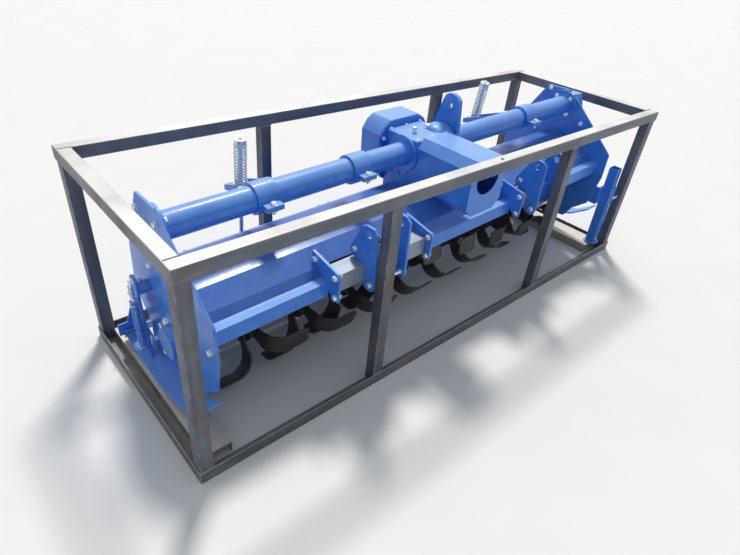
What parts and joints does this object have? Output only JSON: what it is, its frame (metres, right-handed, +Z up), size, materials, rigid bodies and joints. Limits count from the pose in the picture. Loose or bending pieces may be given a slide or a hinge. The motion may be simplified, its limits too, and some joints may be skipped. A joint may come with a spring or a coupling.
{
  "type": "rotavator",
  "caption": "Tractor rotavator with hooked tines, hood and hinged tailgate, leaning a little on its parking leg inside a welded steel transport frame.",
  "frame": {"origin": "centre of the transport frame's footprint, on its underside", "axes": "+X along the machine's width towards the parking leg, +Y to the rear away from the hitch, +Z up"},
  "size_m": [2.74, 0.9362, 0.9984],
  "materials": {
    "frame_steel": "dark mill scale with rust and scratches",
    "bare_steel": "bare rolled bar",
    "black_steel": "satin black paint",
    "zinc_steel": "bright zinc plate",
    "shaft_steel": "machined",
    "blue_paint": "glossy blue powder coat"
  },
  "bodies": {
    "chassis": {"beam_bare_left": "bare_steel", "beam_bare_right": "bare_steel", "beam_left": "blue_paint", "beam_middle": "blue_paint", "beam_right": "blue_paint", "bearer_left": "frame_steel", "bearer_right": "frame_steel", "bearing_housing": "blue_paint", "cross_tube_left": "blue_paint", "cross_tube_right": "blue_paint", "frame_base": "frame_steel", "frame_post_front_left": "frame_steel", "frame_post_front_mid_left": "frame_steel", "frame_post_front_mid_right": "frame_steel", "frame_post_front_right": "frame_steel", "frame_post_rear_left": "frame_steel", "frame_post_rear_mid_left": "frame_steel", "frame_post_rear_mid_right": "frame_steel", "frame_post_rear_right": "frame_steel", "frame_top": "frame_steel", "gearbox": "blue_paint", "gearbox_lid": "blue_paint", "gearbox_rear_cover": "blue_paint", "hinge_line": "blue_paint", "hitch_bracket_left": "blue_paint", "hitch_bracket_right": "blue_paint", "hood": "blue_paint", "input_guard": "blue_paint", "leg_bracket": "blue_paint", "leg_clamp_screw": "zinc_steel", "side_drive_case": "blue_paint", "side_plate_left": "blue_paint", "side_plate_right": "blue_paint", "skid_left": "blue_paint", "skid_right": "blue_paint", "spring_arm_left": "blue_paint", "spring_arm_right": "blue_paint", "top_link_lug": "blue_paint", "tube_clamp": "blue_paint"},
    "rotor": {"rotor_shaft": "black_steel", "tine_flanges": "black_steel", "tines": "black_steel"},
    "input_drive": {"input_shaft": "shaft_steel"},
    "tailgate": {"tailgate": "blue_paint"},
    "spring_rod_left": {"spring_rod_left": "zinc_steel", "spring_left": "zinc_steel"},
    "spring_rod_right": {"spring_rod_right": "zinc_steel", "spring_right": "zinc_steel"},
    "parking_leg": {"parking_leg": "blue_paint"}
  },
  "joints": [
    {"name": "rotor_spin", "type": "hinge", "parent": "chassis", "child": "rotor", "pos_m": [-0.01753, -0.06331, 0.31988], "axis": [0.9995, 0, 0.0332], "continuous": true},
    {"name": "input_spin", "type": "hinge", "parent": "chassis", "child": "input_drive", "pos_m": [-0.0023, -0.24831, 0.76563], "axis": [0, 1, 0], "continuous": true},
    {"name": "tailgate_lift", "type": "hinge", "parent": "chassis", "child": "tailgate", "pos_m": [-0.02061, 0.2408, 0.4128], "axis": [0.9995, 0, 0.0332], "range_deg": [0, 15]},
    {"name": "spring_rod_left_swing", "type": "hinge", "parent": "tailgate", "child": "spring_rod_left", "pos_m": [-0.75638, 0.29779, 0.30335], "axis": [0.9995, 0, 0.0332], "range_deg": [-11.2, 0]},
    {"name": "spring_rod_right_swing", "type": "hinge", "parent": "tailgate", "child": "spring_rod_right", "pos_m": [0.7328, 0.29779, 0.35275], "axis": [0.9995, 0, 0.0332], "range_deg": [-11.2, 0]},
    {"name": "parking_leg_slide", "type": "slide", "parent": "chassis", "child": "parking_leg", "axis": [-0.0332, 0, 0.9995], "range_m": [0, 0.25]}
  ],
  "couplings": [
    {"joint": "input_spin", "follows": "rotor_spin", "ratio": 2.45},
    {"joint": "spring_rod_left_swing", "follows": "tailgate_lift", "ratio": -0.7465},
    {"joint": "spring_rod_right_swing", "follows": "tailgate_lift", "ratio": -0.7465}
  ]
}
